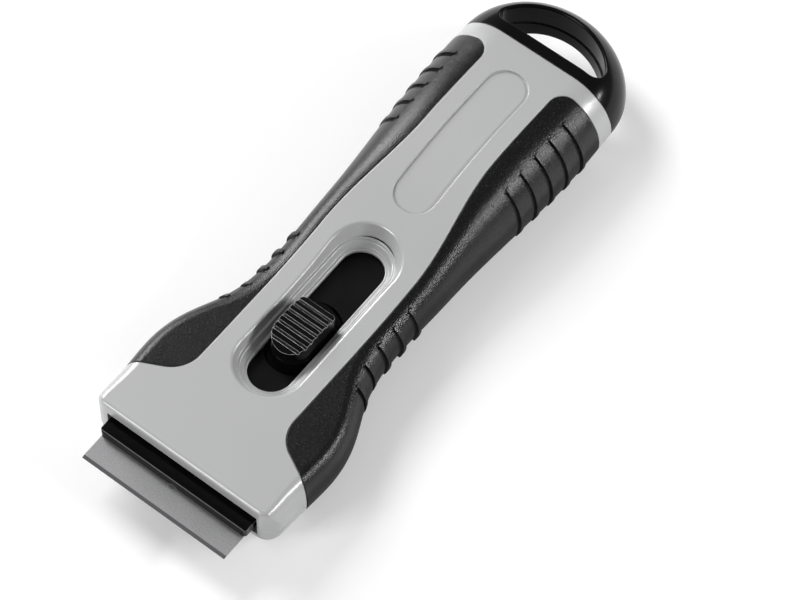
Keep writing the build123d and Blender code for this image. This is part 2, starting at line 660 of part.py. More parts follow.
def blade_carrier():
    """Sliding carrier: jaw under the blade, long plate under the slot and the button's well."""
    jaw_low = MOUTH_LOW + SLIDE_GAP
    jaw = block(JAW_HALF, HOLDER_FRONT + JAW_SETBACK, HOLDER_BACK, jaw_low, BLADE_LOW)
    tail = block(HOLDER_TAIL_HALF, HOLDER_BACK, HOLDER_END, jaw_low, BLADE_TOP + CLAMP_PLATE)
    plate = block(PLATE_HALF, HOLDER_BACK, PLATE_END, PLATE_LOW, PLATE_TOP)
    stud = Pos(0, slot_centres()[1], BLADE_LOW) * Cylinder(STUD_RADIUS, BLADE_THICK + STUD_RISE,
                                                  align=(Align.CENTER, Align.CENTER, Align.MIN))
    start, end = stem_centres()
    room = FLANGE_HALF + LOOSE_GAP
    cup = extrude(stadium(start, end, room + WELL_WALL, WELL_LOW), PLATE_TOP - WELL_LOW)
    well = extrude(stadium(start, end, room, WELL_FLOOR), PALM_TOP)
    return jaw + tail + plate + stud + cup - well - jaw_pockets(jaw_low)


def jaw_pockets(jaw_low):
    """Coring on the jaw's underside that leaves ribs between the pockets."""
    pitch = 2.0 * JAW_HALF / JAW_POCKETS
    length = HOLDER_BACK - HOLDER_FRONT - JAW_SETBACK - 2.0 * JAW_RIB
    middle = (HOLDER_FRONT + JAW_SETBACK + HOLDER_BACK) / 2.0
    pockets = [Pos((i + 0.5) * pitch - JAW_HALF, middle, jaw_low)
               * Box(pitch - JAW_RIB, length, 2.0 * (BLADE_LOW - jaw_low - JAW_SKIN))
               for i in range(JAW_POCKETS)]
    return Part() + pockets


# ---------------------------------------------------------------- thumb button
def stem_centres():
    """Centres of the stem's two round ends."""
    front = BUTTON_Y - CAP_LENGTH / 2.0 - STEM_RIM
    return front + BUTTON_HALF, BUTTON_Y + CAP_LENGTH / 2.0 + STEM_TAIL - BUTTON_HALF


def button_cap():
    """Crowned cap, round in front and square behind, with ridges across it."""
    outline = Pos(0, BUTTON_Y) * Rectangle(2 * CAP_HALF, CAP_LENGTH)
    outline = fillet(outline.vertices().group_by(Axis.Y)[0], CAP_HALF - CAP_NOSE_FLAT)
    outline = fillet(outline.vertices().group_by(Axis.Y)[-1], CAP_CORNER)
    cap = extrude(Pos(0, 0, STEM_TOP) * outline, CAP_TOP - STEM_TOP)
    crown = Pos(0, BUTTON_Y, CAP_TOP - CAP_CROWN) * Cylinder(CAP_CROWN, BIG, rotation=(0, 90, 0))
    pitch = CAP_LENGTH / CAP_RIDGES
    cap = cap & crown
    for i in range(CAP_RIDGES - 1):
        y = BUTTON_Y + (i + 1) * pitch - CAP_LENGTH / 2.0
        crest = CAP_TOP - CAP_CROWN + sqrt(CAP_CROWN ** 2 - (y - BUTTON_Y) ** 2)
        notch = Pos(0, y, crest) * Box(BIG, CAP_GROOVE_WIDTH, 2.0 * CAP_GROOVE)
        cap = cap - notch
    return cap


def thumb_button():
    """Push button: ridged cap, stem through the slot and a flange with lock teeth."""
    start, end = stem_centres()
    flange = extrude(stadium(start, end, FLANGE_HALF, FLANGE_LOW), FLANGE_THICK)
    stem = extrude(stadium(start, end, BUTTON_HALF, FLANGE_LOW), STEM_TOP - FLANGE_LOW)
    return flange + stem + button_cap() + lock_teeth()


def lock_teeth():
    """Teeth on the flange, half a pitch away from the rack's, so they meet its gaps."""
    width = FLANGE_HALF - BUTTON_HALF
    tooth = standing(width, TOOTH_WIDTH, TOOTH_HEIGHT)
    teeth = [Pos(side * (BUTTON_HALF + width / 2.0), BUTTON_Y + (k + 0.5) * TOOTH_PITCH, FLANGE_TOP) * tooth
             for k in range(-LOCK_TEETH // 2, LOCK_TEETH // 2) for side in (1, -1)]
    return Part() + teeth


def button_spring():
    """Coil spring between the well's floor and the flange."""
    start, end = stem_centres()
    height = FLANGE_LOW - WELL_FLOOR - SPRING_WIRE - 2.0 * SPRING_END_GAP
    path = Helix(height / SPRING_TURNS, height, SPRING_RADIUS)
    section_plane = Plane(path @ 0, z_dir=path % 0)
    coil = sweep(section_plane * Circle(SPRING_WIRE / 2.0), path=path)
    return Pos(0, (start + end) / 2.0, WELL_FLOOR + SPRING_END_GAP + SPRING_WIRE / 2.0) * coil


# ---------------------------------------------------------------- assembly
def build():
    """Every piece by name, in the handle's frame."""
    body = outer_body()
    skin = grip_skin(body)
    inside = body_form(SEAM_DEPTH)
    seam = grip_seam(inside)
    core = body - skin - mirrored(skin)
    core = core - seam - mirrored(seam) - shell_seam(inside)
    space = hollow()
    grip = right_grip(skin)
    return {
        "top_shell": top_shell(core, space),
        "bottom_shell": bottom_shell(core, space),
        "right_grip": grip,
        "left_grip": mirrored(grip),
        "hanging_loop": hanging_loop(),
        "case_screws": case_screws(),
        "blade_carrier": blade_carrier(),
        "blade": blade(),
        "blade_clamp": blade_clamp(),
        "thumb_button": thumb_button(),
        "button_spring": button_spring(),
    }


def main():
    os.makedirs("parts", exist_ok=True)
    for name, shape in build().items():
        export_step(Pos(0, -MIDDLE, 0) * shape, f"parts/{name}.step")


if __name__ == "__main__":
    main()
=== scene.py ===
"""Looks of the retractable hob scraper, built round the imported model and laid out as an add-on."""

import json
from math import cos, pi, radians, sin

import bmesh
import bpy
from bpy.props import FloatProperty, FloatVectorProperty, IntProperty, PointerProperty
from bpy.types import Operator, Panel, PropertyGroup
from mathutils import Matrix, Vector


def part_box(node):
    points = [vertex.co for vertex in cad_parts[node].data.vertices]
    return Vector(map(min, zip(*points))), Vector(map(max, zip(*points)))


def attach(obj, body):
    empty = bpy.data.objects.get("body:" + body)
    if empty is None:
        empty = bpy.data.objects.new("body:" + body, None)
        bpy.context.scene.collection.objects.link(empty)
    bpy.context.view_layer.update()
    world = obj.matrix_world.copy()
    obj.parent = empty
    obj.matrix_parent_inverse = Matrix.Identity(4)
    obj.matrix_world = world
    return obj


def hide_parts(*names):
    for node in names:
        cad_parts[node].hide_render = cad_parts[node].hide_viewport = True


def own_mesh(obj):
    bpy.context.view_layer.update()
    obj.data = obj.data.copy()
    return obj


bl_info = {
    "name": "Hob scraper looks",
    "version": (1, 0, 0),
    "blender": (4, 5, 0),
    "location": "View3D > Sidebar > Scraper",
    "description": "Finishes, screws, spring and studio for the ceramic hob scraper",
    "category": "Object",
}

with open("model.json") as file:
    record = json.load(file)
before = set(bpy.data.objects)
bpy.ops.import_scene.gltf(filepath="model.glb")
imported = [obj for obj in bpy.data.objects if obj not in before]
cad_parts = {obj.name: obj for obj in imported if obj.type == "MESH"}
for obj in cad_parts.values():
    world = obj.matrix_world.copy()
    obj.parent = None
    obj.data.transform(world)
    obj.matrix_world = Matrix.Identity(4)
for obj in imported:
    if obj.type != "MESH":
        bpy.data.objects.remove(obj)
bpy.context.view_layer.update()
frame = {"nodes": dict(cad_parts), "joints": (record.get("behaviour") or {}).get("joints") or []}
NODES = frame["nodes"]
MM = 0.001
SCREW_COUNT = 4
CREASE = 40.0  # degrees between two faces that keep a sharp edge
TURN_FROM, TURN_FULL = 0.03, 0.16  # how far an edge turns the normal, as 1 minus the cosine
HIGHLIGHT_RISE = 0.8 * MM  # height over which the painted highlight on the edges comes in
TABLE_GAP = 0.2 * MM  # air under the flat back, so that the two faces don't flicker

# Each lamp's size, wide and high, and its place, in metres
LAMPS = {
    "key": ((0.3, 0.5), (-0.62, 0.17, 0.42)),
    "strip": ((0.34, 0.03), (0.48, 0.245, 0.29)),
    "front": ((0.3, 0.2), (-0.3, -0.72, 0.4)),
}


# ---------------------------------------------------------------- shader sums
class Socket:
    """A node's output. Python arithmetic on it adds the Math nodes that work it out."""

    def __init__(self, finish, output):
        self.finish = finish
        self.output = output

    def maths(self, operation, *values):
        """A Math node on sockets and numbers."""
        return self.finish.node("ShaderNodeMath", {"operation": operation}, dict(enumerate(values)))

    def __add__(self, other):
        return self.maths("ADD", self, other)

    __radd__ = __add__

    def __sub__(self, other):
        return self.maths("SUBTRACT", self, other)

    def __rsub__(self, other):
        return self.maths("SUBTRACT", other, self)

    def __mul__(self, other):
        return self.maths("MULTIPLY", self, other)

    __rmul__ = __mul__

    def at_most(self, other):
        """The lower of the two."""
        return self.maths("MINIMUM", self, other)

    def fade(self, start, end):
        """0 up to start, 1 from end on, eased between them."""
        return self.finish.node("ShaderNodeMapRange", {"interpolation_type": "SMOOTHSTEP"},
                                {"Value": self, "From Min": start, "From Max": end})


class Finish:
    """One material, or the world, and the few kinds of node call that it is built with."""

    def __init__(self, owner):
        self.owner = owner
        owner.use_nodes = True
        self.tree = owner.node_tree
        self.tree.nodes.clear()

    def node(self, kind, settings=None, sockets=None, output=0):
        """Add a node: its settings first, then the values or links of its sockets."""
        made = self.tree.nodes.new(kind)
        for name, value in (settings or {}).items():
            setattr(made, name, value)
        for name, value in (sockets or {}).items():
            if isinstance(value, Socket):
                self.tree.links.new(value.output, made.inputs[name])
            else:
                made.inputs[name].default_value = value
        return Socket(self, made.outputs[output]) if made.outputs else None

    def place(self):
        """Where a point lies on the part at rest, in metres."""
        return self.node("ShaderNodeTexCoord", output="Object")

    def axis(self, which):
        """One coordinate of that place."""
        return self.node("ShaderNodeSeparateXYZ", {}, {"Vector": self.place()}, which)

    def stretched(self, x, y, z):
        """The place scaled by a different amount along each axis."""
        return self.node("ShaderNodeVectorMath", {"operation": "MULTIPLY"}, {0: self.place(), 1: (x, y, z)})

    def noise(self, size, detail, where=None):
        """Soft random field whose blobs are about size across."""
        return self.node("ShaderNodeTexNoise", {},
                         {"Vector": where or self.place(), "Scale": 1.0 / size, "Detail": detail}, "Fac")

    def cells(self, size):
        """Distance field of scattered cells about size across."""
        return self.node("ShaderNodeTexVoronoi", {},
                         {"Vector": self.place(), "Scale": 1.0 / size}, "Distance")

    def mix(self, dark, light, factor):
        """A colour between two, by factor."""
        return self.node("ShaderNodeMix", {"data_type": "RGBA"}, {0: factor, 6: dark, 7: light}, 2)

    def eased_edges(self, radius):
        """Normal with every edge and seam rounded over by radius."""
        return self.node("ShaderNodeBevel", {"samples": 6}, {"Radius": radius})

    def edge_line(self, radius):
        """1 along every sharp edge and 0 elsewhere, by how far its rounding turns the normal."""
        flat = self.node("ShaderNodeNewGeometry", output="Normal")
        turned = self.node("ShaderNodeVectorMath", {"operation": "DOT_PRODUCT"},
                           {0: self.eased_edges(radius), 1: flat}, "Value")
        return (1.0 - turned).fade(TURN_FROM, TURN_FULL)

    def bump(self, height, depth, normal):
        """The normal with a relief of that depth on it."""
        return self.node("ShaderNodeBump", {}, {"Height": height, "Distance": depth, "Normal": normal})

    def surface(self, sockets):
        """Principled surface to the material's output."""
        shader = self.node("ShaderNodeBsdfPrincipled", {}, sockets)
        self.node("ShaderNodeOutputMaterial", {}, {"Surface": shader})
        return self.owner


def tone(colour, factor):
    """The colour made lighter or darker, with its alpha."""
    return (*[min(channel * factor, 1.0) for channel in colour[:3]], 1.0)


def coat(node, material):
    """Give a carried-over solid its finished material."""
    slots = NODES[node].data.materials
    slots.clear()
    slots.append(material)


# ---------------------------------------------------------------- settings
class ShellSettings(PropertyGroup):
    colour: FloatVectorProperty(
        name="Colour", description="Silver-grey of the moulded shells", subtype="COLOR", size=3,
        min=0.0, max=1.0, default=(0.443, 0.445, 0.449))
    flake: FloatProperty(name="Flake", description="Share of metal flake in the silver", default=0.12,
                         min=0.0, max=1.0)
    roughness: FloatProperty(name="Roughness", description="Satin of the shells", default=0.34,
                             min=0.0, max=1.0)
    skin: FloatProperty(name="Skin", description="Weight of the smooth skin over the silver", default=0.28,
                        min=0.0, max=1.0)
    skin_roughness: FloatProperty(name="Skin roughness", description="Polish of that skin", default=0.18,
                                  min=0.0, max=1.0)
    edge: FloatProperty(name="Edge round", description="Rounding of the moulded edges",
                        default=0.35 * MM, unit="LENGTH", precision=5)
    # painted highlight: a lighter line painted along the crisp edges, its width and how much lighter it is
    crisp: FloatProperty(name="Crisp edge", description="Width of the light line along the crisp edges",
                         default=0.2 * MM, unit="LENGTH", precision=5)
    crisp_light: FloatProperty(name="Crisp edge light", description="How much lighter that line is",
                               default=1.45, min=1.0)
    grain: FloatProperty(name="Grain", description="Size of the spark-eroded grain",
                         default=0.28 * MM, unit="LENGTH", precision=5)
    mica: FloatProperty(name="Mica", description="Size of the metal flakes",
                        default=0.07 * MM, unit="LENGTH", precision=5)


class GripSettings(PropertyGroup):
    colour: FloatVectorProperty(
        name="Colour", description="Near-black of the soft grips", subtype="COLOR", size=3,
        min=0.0, max=1.0, default=(0.006, 0.006, 0.0062))
    roughness: FloatProperty(name="Roughness", description="Sheen of the soft grips", default=0.26,
                             min=0.0, max=1.0)
    shine: FloatProperty(name="Shine", description="Strength of the reflections", default=0.34,
                         min=0.0, max=1.0)
    grain: FloatProperty(name="Grain", description="Size of the leathery grain",
                         default=0.32 * MM, unit="LENGTH", precision=5)
    depth: FloatProperty(name="Grain depth", description="Depth of the leathery grain",
                         default=0.06 * MM, unit="LENGTH", precision=6)
    edge: FloatProperty(name="Edge round", description="Rounding of the grips' edges",
                        default=0.15 * MM, unit="LENGTH", precision=5)
    dull_below: FloatProperty(name="Dull below", description="Height under which the flanks are dull",
                              default=9.5 * MM, unit="LENGTH", precision=5)
    sheen_above: FloatProperty(name="Sheen above", description="Height from which the sheen is full",
                               default=13.5 * MM, unit="LENGTH", precision=5)


class BlackSettings(PropertyGroup):
    gloss: FloatVectorProperty(
        name="Gloss black", description="Colour of the loop, the blade clamp and the button", subtype="COLOR",
        size=3, min=0.0, max=1.0, default=(0.0035, 0.0035, 0.0036))
    satin: FloatVectorProperty(
        name="Satin black", description="Colour of the slider inside the handle", subtype="COLOR", size=3,
        min=0.0, max=1.0, default=(0.007, 0.007, 0.0071))
    gloss_roughness: FloatProperty(name="Gloss roughness", description="Polish of the gloss black parts",
                                   default=0.18, min=0.0, max=1.0)
    satin_roughness: FloatProperty(name="Satin roughness", description="Polish of the slider", default=0.3,
                                   min=0.0, max=1.0)
    shine: FloatProperty(name="Shine", description="Strength of the reflections", default=0.17,
                         min=0.0, max=1.0)
    edge: FloatProperty(name="Edge round", description="Rounding of the black parts' edges",
                        default=0.18 * MM, unit="LENGTH", precision=5)
    ridge_edge: FloatProperty(name="Ridge round", description="Rounding of the button's ridges",
                              default=0.17 * MM, unit="LENGTH", precision=5)
    # painted highlight on the edges: the height from which it starts on the button, then its grey on each
    # part
    ridge_foot: FloatProperty(name="Ridge foot", description="Height from which the button's edges are worn",
                              default=13.2 * MM, unit="LENGTH", precision=5)
    loop_wear: FloatProperty(name="Loop wear", description="Grey of the loop's worn edges", default=0.1,
                             min=0.0, max=1.0)
    clamp_wear: FloatProperty(name="Clamp wear", description="Grey of the clamp's worn edges",
                              default=0.45, min=0.0, max=1.0)
    slider_wear: FloatProperty(name="Slider wear", description="Grey of the slider's worn edges",
                               default=0.012, min=0.0, max=1.0)
    ridge_wear: FloatProperty(name="Ridge wear", description="Grey of the ridges' worn edges",
                              default=0.95, min=0.0, max=1.0)


class BladeSettings(PropertyGroup):
    steel: FloatVectorProperty(
        name="Steel", description="Colour of the blade's flat", subtype="COLOR", size=3,
        min=0.0, max=1.0, default=(0.315, 0.315, 0.32))
    ground: FloatVectorProperty(
        name="Ground edge", description="Colour of the sharpened strip", subtype="COLOR", size=3,
        min=0.0, max=1.0, default=(0.11, 0.11, 0.115))
    strip: FloatProperty(name="Ground strip", description="Width of the sharpened strip",
                         default=0.8 * MM, unit="LENGTH", precision=5)
    marks: FloatProperty(name="Marks", description="Size of the grinding marks",
                         default=0.16 * MM, unit="LENGTH", precision=5)
    mottle: FloatProperty(name="Mottle", description="Size of the mottling",
                          default=0.38 * MM, unit="LENGTH", precision=5)
    edge: FloatProperty(name="Edge round", description="Rounding of the blade's edges",
                        default=0.04 * MM, unit="LENGTH", precision=5)
    metal: FloatProperty(name="Metal", description="Share of bare steel under the oxide skin",
                         default=0.6, min=0.0, max=1.0)
    roughness: FloatProperty(name="Roughness", description="Brushed finish of the blade", default=0.5,
                             min=0.0, max=1.0)


class ScrewSettings(PropertyGroup):
    colour: FloatVectorProperty(
        name="Zinc", description="Colour of the screws and the spring", subtype="COLOR", size=3,
        min=0.0, max=1.0, default=(0.55, 0.56, 0.57))
    head: FloatProperty(name="Head radius", description="Radius of a screw's head",
                        default=2.1 * MM, unit="LENGTH", precision=5)
    head_height: FloatProperty(name="Head height", description="Thickness of a screw's head",
                               default=1.5 * MM, unit="LENGTH", precision=5)
    shank: FloatProperty(name="Thread radius", description="Radius over the thread",
                         default=1.1 * MM, unit="LENGTH", precision=5)
    length: FloatProperty(name="Length", description="Length under the head",
                          default=8.5 * MM, unit="LENGTH", precision=5)
    pitch: FloatProperty(name="Pitch", description="Rise of the thread in one turn",
                         default=0.9 * MM, unit="LENGTH", precision=5)
    recess: FloatProperty(name="Recess reach", description="Reach of the cross recess",
                          default=1.25 * MM, unit="LENGTH", precision=5)
    arm: FloatProperty(name="Recess arm", description="Half width of the recess's arms",
                       default=0.3 * MM, unit="LENGTH", precision=5)
    edge: FloatProperty(name="Edge round", description="Rounding of the screws' and the spring's edges",
                        default=0.05 * MM, unit="LENGTH", precision=5)
    facets: IntProperty(name="Facets", description="Facets round a screw", default=40, min=12)
    steps: IntProperty(name="Steps", description="Rings in each turn of the thread", default=8, min=4)


class SpringSettings(PropertyGroup):
    wire: FloatProperty(name="Wire", description="Thickness of the spring's wire",
                        default=0.5 * MM, unit="LENGTH", precision=5)
    coils: FloatProperty(name="Coils", description="Turns of the wire, with the closed ones",
                         default=3.5, min=2.0)
    ground: FloatProperty(name="Ground", description="Depth ground off each end",
                          default=0.12 * MM, unit="LENGTH", precision=5)
    facets: IntProperty(name="Facets", description="Facets round the wire", default=16, min=6)
    steps: IntProperty(name="Steps", description="Rings of the wire in each turn", default=48, min=12)


class StageSettings(PropertyGroup):
    floor: FloatProperty(name="Floor", description="Share of the light that the floor gives back",
                         default=0.8, min=0.0, max=1.0)
    lift: FloatProperty(name="Floor lift", description="White added to the floor near the part",
                        default=0.21, min=0.0, max=1.0)
    half: FloatProperty(name="Table", description="Half the table's width", default=4.0, unit="LENGTH")
    near: FloatProperty(name="Near", description="Distance from which the floor turns whiter",
                        default=0.2, unit="LENGTH")
    far: FloatProperty(name="Far", description="Distance from which the floor is white",
                       default=0.8, unit="LENGTH")
    fill: FloatProperty(name="Fill", description="Even light from all round", default=0.22, min=0.0)
    ceiling: FloatProperty(name="Ceiling", description="Brightness of the studio in reflections",
                           default=0.11, min=0.0)
    key: FloatProperty(name="Key lamp", description="Power of the softbox at the upper left",
                       default=5.9, min=0.0)
    strip: FloatProperty(name="Strip lamp", description="Power of the narrow lamp behind the right grip",
                         default=2.3, min=0.0)
    front: FloatProperty(name="Front lamp", description="Power of the lamp in front of the blade",
                         default=3.3, min=0.0)
    eye: FloatVectorProperty(name="Camera", description="Place of the camera", subtype="TRANSLATION", size=3,
                             default=(0.25370, -0.33535, 0.72888))
    view: FloatVectorProperty(name="View", description="Direction in which the camera looks",
                              subtype="DIRECTION", size=3, default=(-0.29327, 0.39822, -0.86914))
    roll: FloatProperty(name="Roll", description="Turn of the camera about its view",
                        default=radians(1.55), subtype="ANGLE")
    lens: FloatProperty(name="Lens", description="Focal length in millimetres", default=168.3)


class ScraperSettings(PropertyGroup):
    shell: PointerProperty(name="Shells", description="Silver plastic", type=ShellSettings)
    grip: PointerProperty(name="Grips", description="Soft black plastic", type=GripSettings)
    black: PointerProperty(name="Black parts", description="Hard black plastic", type=BlackSettings)
    blade: PointerProperty(name="Blade", description="Rolled steel", type=BladeSettings)
    screw: PointerProperty(name="Screws", description="Case screws, and the zinc on them", type=ScrewSettings)
    spring: PointerProperty(name="Spring", description="Button spring", type=SpringSettings)
    stage: PointerProperty(name="Studio", description="Table, lamps and camera", type=StageSettings)


# ---------------------------------------------------------------- finishes
def silver_plastic(look):
    """Satin silver moulding: fine mica in the colour, eroded grain, softly rounded edges, and a painted
    highlight that lightens the crisp edges.
    """
    finish = Finish(bpy.data.materials.new("silver_moulding"))
    mica = finish.noise(look.mica, 1.0).fade(0.45, 0.75)
    flow = finish.noise(26.0 * MM, 1.0)
    body = finish.mix(tone(look.colour, 0.96), tone(look.colour, 1.04), flow)
    flaked = finish.mix(body, tone(look.colour, 1.12), mica * 0.35)
    # painted highlight: the colour is made lighter along the crisp edges, standing in for the light they
    # catch
    colour = finish.mix(flaked, tone(look.colour, look.crisp_light), finish.edge_line(look.crisp))
    grain = finish.noise(look.grain, 3.0)
    normal = finish.bump(grain, depth=0.0025 * MM, normal=finish.eased_edges(look.edge))
    return finish.surface({"Base Color": colour, "Metallic": look.flake, "Normal": normal,
                           "Roughness": look.roughness + (grain - 0.5) * 0.12,
                           "Coat Weight": look.skin, "Coat Roughness": look.skin_roughness})


def soft_rubber(look):
    """Soft black grip: leathery cells over fine noise, light dots painted into the colour as glints of the
    grain, a sheen on top and dull flanks.
    """
    finish = Finish(bpy.data.materials.new("soft_black_grip"))
    cells = finish.cells(look.grain)
    fine = finish.noise(look.grain * 0.35, 3.0)
    wear_and_highlight = finish.noise(9.0 * MM, 3.0).fade(0.4, 0.7)
    # painted glints: light specks in the colour stand in for the sparkle of light off the grain
    glint_specks = finish.noise(look.grain, 2.0).fade(0.56, 0.72)
    relief = cells * 0.65 + fine * 0.35
    skin = finish.mix(tone(look.colour, 0.6), tone(look.colour, 1.8), relief * 0.7 + wear_and_highlight * 0.3)
    colour = finish.mix(skin, tone(look.colour, 5.0), glint_specks)
    dull = 1.0 - finish.axis("Z").fade(look.dull_below, look.sheen_above)
    normal = finish.bump(relief, depth=look.depth, normal=finish.eased_edges(look.edge))
    return finish.surface({"Base Color": colour, "Specular IOR Level": look.shine, "Normal": normal,
                           "Roughness": look.roughness + (fine - 0.5) * 0.2 - wear_and_highlight * 0.05 + dull * 0.5})


def black_plastic(name, look, colour, roughness, edge, wear_and_highlight, highlit_above=-HIGHLIGHT_RISE):
    """Hard black moulding: faint ripple of a polished tool, and a painted highlight that greys the edges
    above a height.
    """
    finish = Finish(bpy.data.materials.new(name))
    ripple = finish.noise(3.0 * MM, 2.0)
    fine = finish.noise(0.12 * MM, 2.0)
    haze = finish.noise(7.0 * MM, 3.0)
    body = finish.mix(tone(colour, 0.85), tone(colour, 1.3), haze)
    # painted highlight: the edges are made lighter grey above a height, standing in for the light they catch
    highlit = finish.edge_line(edge) * finish.axis("Z").fade(highlit_above, highlit_above + HIGHLIGHT_RISE)
    tint = finish.mix(body, (wear_and_highlight, wear_and_highlight, wear_and_highlight, 1.0), highlit)
    rippled = finish.bump(ripple, depth=0.004 * MM, normal=finish.eased_edges(edge))
    normal = finish.bump(fine, depth=0.0012 * MM, normal=rippled)
    return finish.surface({"Base Color": tint, "Specular IOR Level": look.shine, "Normal": normal,
                           "Roughness": roughness + (haze - 0.5) * 0.1 + (fine - 0.5) * 0.05})


def blade_steel(look):
    """Rolled steel strip: short grinding marks across it, mottling and a darker sharpened edge."""
    finish = Finish(bpy.data.materials.new("ground_steel"))
    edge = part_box("blade")[0].y
    sharp = 1.0 - finish.axis("Y").fade(edge + look.strip * 0.85, edge + look.strip * 1.15)
    marks = finish.noise(look.marks, 4.0, finish.stretched(0.35, 1.0, 1.0))
    mottle = finish.noise(look.mottle, 2.0).fade(0.3, 0.7)
    stain = finish.noise(6.0 * MM, 3.0)
    blend = marks * 0.45 + mottle * 0.35 + stain * 0.2
    flat = finish.mix(tone(look.steel, 0.7), tone(look.steel, 1.3), blend)
    colour = finish.mix(flat, tone(look.ground, 1.0), sharp)
    normal = finish.bump(marks, depth=0.004 * MM, normal=finish.eased_edges(look.edge))
    return finish.surface({"Base Color": colour, "Metallic": look.metal, "Normal": normal,
                           "Roughness": look.roughness + (mottle - 0.5) * 0.15 + sharp * 0.05})


def zinc(name, look):
    """Bright zinc plating with passivation clouds."""
    finish = Finish(bpy.data.materials.new(name))
    clouds = finish.noise(0.8 * MM, 3.0)
    fine = finish.noise(0.08 * MM, 2.0)
    colour = finish.mix(tone(look.colour, 0.8), tone(look.colour, 1.15), clouds)
    normal = finish.bump(fine, depth=0.002 * MM, normal=finish.eased_edges(look.edge))
    return finish.surface({"Base Color": colour, "Metallic": 1.0, "Roughness": 0.26 + clouds * 0.14,
                           "Normal": normal})


# ---------------------------------------------------------------- screws and spring
def turn(mesh, profile, facets, shape=None):
    """Rings of vertices round Z for each (radius, height), joined by faces."""
    rings = []
    for radius, height in profile:
        ring = []
        for i in range(facets):
            angle = 2.0 * pi * i / facets
            reach = shape(radius, height, angle) if shape else radius
            ring.append(mesh.verts.new((reach * cos(angle), reach * sin(angle), height)))
        rings.append(ring)
    for low, high in zip(rings, rings[1:]):
        for i in range(facets):
            j = (i + 1) % facets
            mesh.faces.new((low[i], low[j], high[j], high[i]))
    return rings


def cross_outline(reach, arm, height):
    """Corners of a cross, anticlockwise."""
    quarter_turn = [(reach, -arm), (reach, arm), (arm, arm)]
    corners = []
    for k in range(4):
        c, s = cos(k * pi / 2.0), sin(k * pi / 2.0)
        corners += [(x * c - y * s, x * s + y * c, height) for x, y in quarter_turn]
    return corners


def loop_edges(mesh, ring):
    """Edges that close a ring of vertices."""
    edges = []
    for a, b in zip(ring, ring[1:] + ring[:1]):
        edges.append(mesh.edges.get((a, b)) or mesh.edges.new((a, b)))
    return edges


def screw(look):
    """One tapping screw: chamfered head with a tapered cross recess, rolled thread and a point."""
    mesh = bmesh.new()
    chamfer = 0.18 * MM
    tip = 0.35  # the point's share of the core
    head = [(look.head - chamfer, 0.0), (look.head, chamfer), (look.head, look.head_height - chamfer),
            (look.head - chamfer, look.head_height), (look.shank * 0.8, look.head_height)]
    rings = turn(mesh, head, look.facets)
    core = 0.72 * look.shank
    steps = int(look.length / look.pitch * look.steps)

    def thread(radius, height, angle):
        phase = ((height - look.head_height) / look.pitch - angle / (2.0 * pi)) % 1.0
        ridge = max(0.0, 1.0 - abs(phase - 0.5) * 4.0)
        run_out = min(1.0, (look.head_height + look.length - height) / look.pitch)
        return core * (tip + (1.0 - tip) * run_out) + (look.shank - core) * ridge * run_out

    rise = look.length / steps
    shank = turn(mesh, [(core, look.head_height + i * rise) for i in range(steps + 1)], look.facets, thread)
    bmesh.ops.bridge_loops(mesh, edges=loop_edges(mesh, rings[-1]) + loop_edges(mesh, shank[0]))
    mesh.faces.new(shank[-1])
    rim = [mesh.verts.new(corner) for corner in cross_outline(look.recess, look.arm, 0.0)]
    foot = [mesh.verts.new(corner) for corner in
            cross_outline(look.recess * 0.55, look.arm * 0.7, look.head_height * 0.62)]
    bmesh.ops.triangle_fill(mesh, edges=loop_edges(mesh, rings[0]) + loop_edges(mesh, rim), use_beauty=True)
    for i, vertex in enumerate(rim):
        j = (i + 1) % len(rim)
        mesh.faces.new((vertex, rim[j], foot[j], foot[i]))
    bmesh.ops.triangle_fill(mesh, edges=loop_edges(mesh, foot), use_beauty=True)
    bmesh.ops.recalc_face_normals(mesh, faces=mesh.faces)
    return mesh


def coil(look, low, high):
    """Compression spring that fills a box: open turns between closed ones, its ends ground flat."""
    mesh = bmesh.new()
    wire = look.wire / 2.0
    radius = (high.x - low.x) / 2.0 - wire
    centre = (low + high) / 2.0
    bottom = low.z + wire - look.ground
    climb = high.z - low.z - 2.0 * (wire - look.ground)
    steps = int(look.coils * look.steps)
    rings = []
    for i in range(steps + 1):
        share = i / steps
        angle = 2.0 * pi * look.coils * share
        height = bottom + climb * share * share * (3.0 - 2.0 * share)
        ring = []
        for k in range(look.facets):
            around = 2.0 * pi * k / look.facets
            reach = radius + wire * cos(around)
            level = min(max(height + wire * sin(around), low.z), high.z)
            ring.append(mesh.verts.new((centre.x + reach * cos(angle), centre.y + reach * sin(angle), level)))
        rings.append(ring)
    for back, front in zip(rings, rings[1:]):
        for k in range(look.facets):
            j = (k + 1) % look.facets
            mesh.faces.new((back[k], back[j], front[j], front[k]))
    mesh.faces.new(rings[0])
    mesh.faces.new(rings[-1])
    bmesh.ops.recalc_face_normals(mesh, faces=mesh.faces)
    return mesh


def screw_seats(node):
    """Lowest point of each solid of the screws' node, with its place in plan."""
    mesh = bmesh.new()
    mesh.from_mesh(NODES[node].data)
    bmesh.ops.remove_doubles(mesh, verts=mesh.verts, dist=0.001 * MM)
    seats, seen = [], set()
    for start in mesh.verts:
        if start in seen:
            continue
        island, todo = [], [start]
        seen.add(start)
        while todo:
            vertex = todo.pop()
            island.append(vertex.co.copy())
            for edge in vertex.link_edges:
                other = edge.other_vert(vertex)
                if other not in seen:
                    seen.add(other)
                    todo.append(other)
        low = Vector([min(p[k] for p in island) for k in range(3)])
        high = Vector([max(p[k] for p in island) for k in range(3)])
        seats.append(Vector(((low.x + high.x) / 2.0, (low.y + high.y) / 2.0, low.z)))
    mesh.free()
    return seats


def smooth(mesh):
    """Smooth shading that keeps the sharp edges."""
    mesh.shade_smooth()
    mesh.set_sharp_from_angle(angle=radians(CREASE))


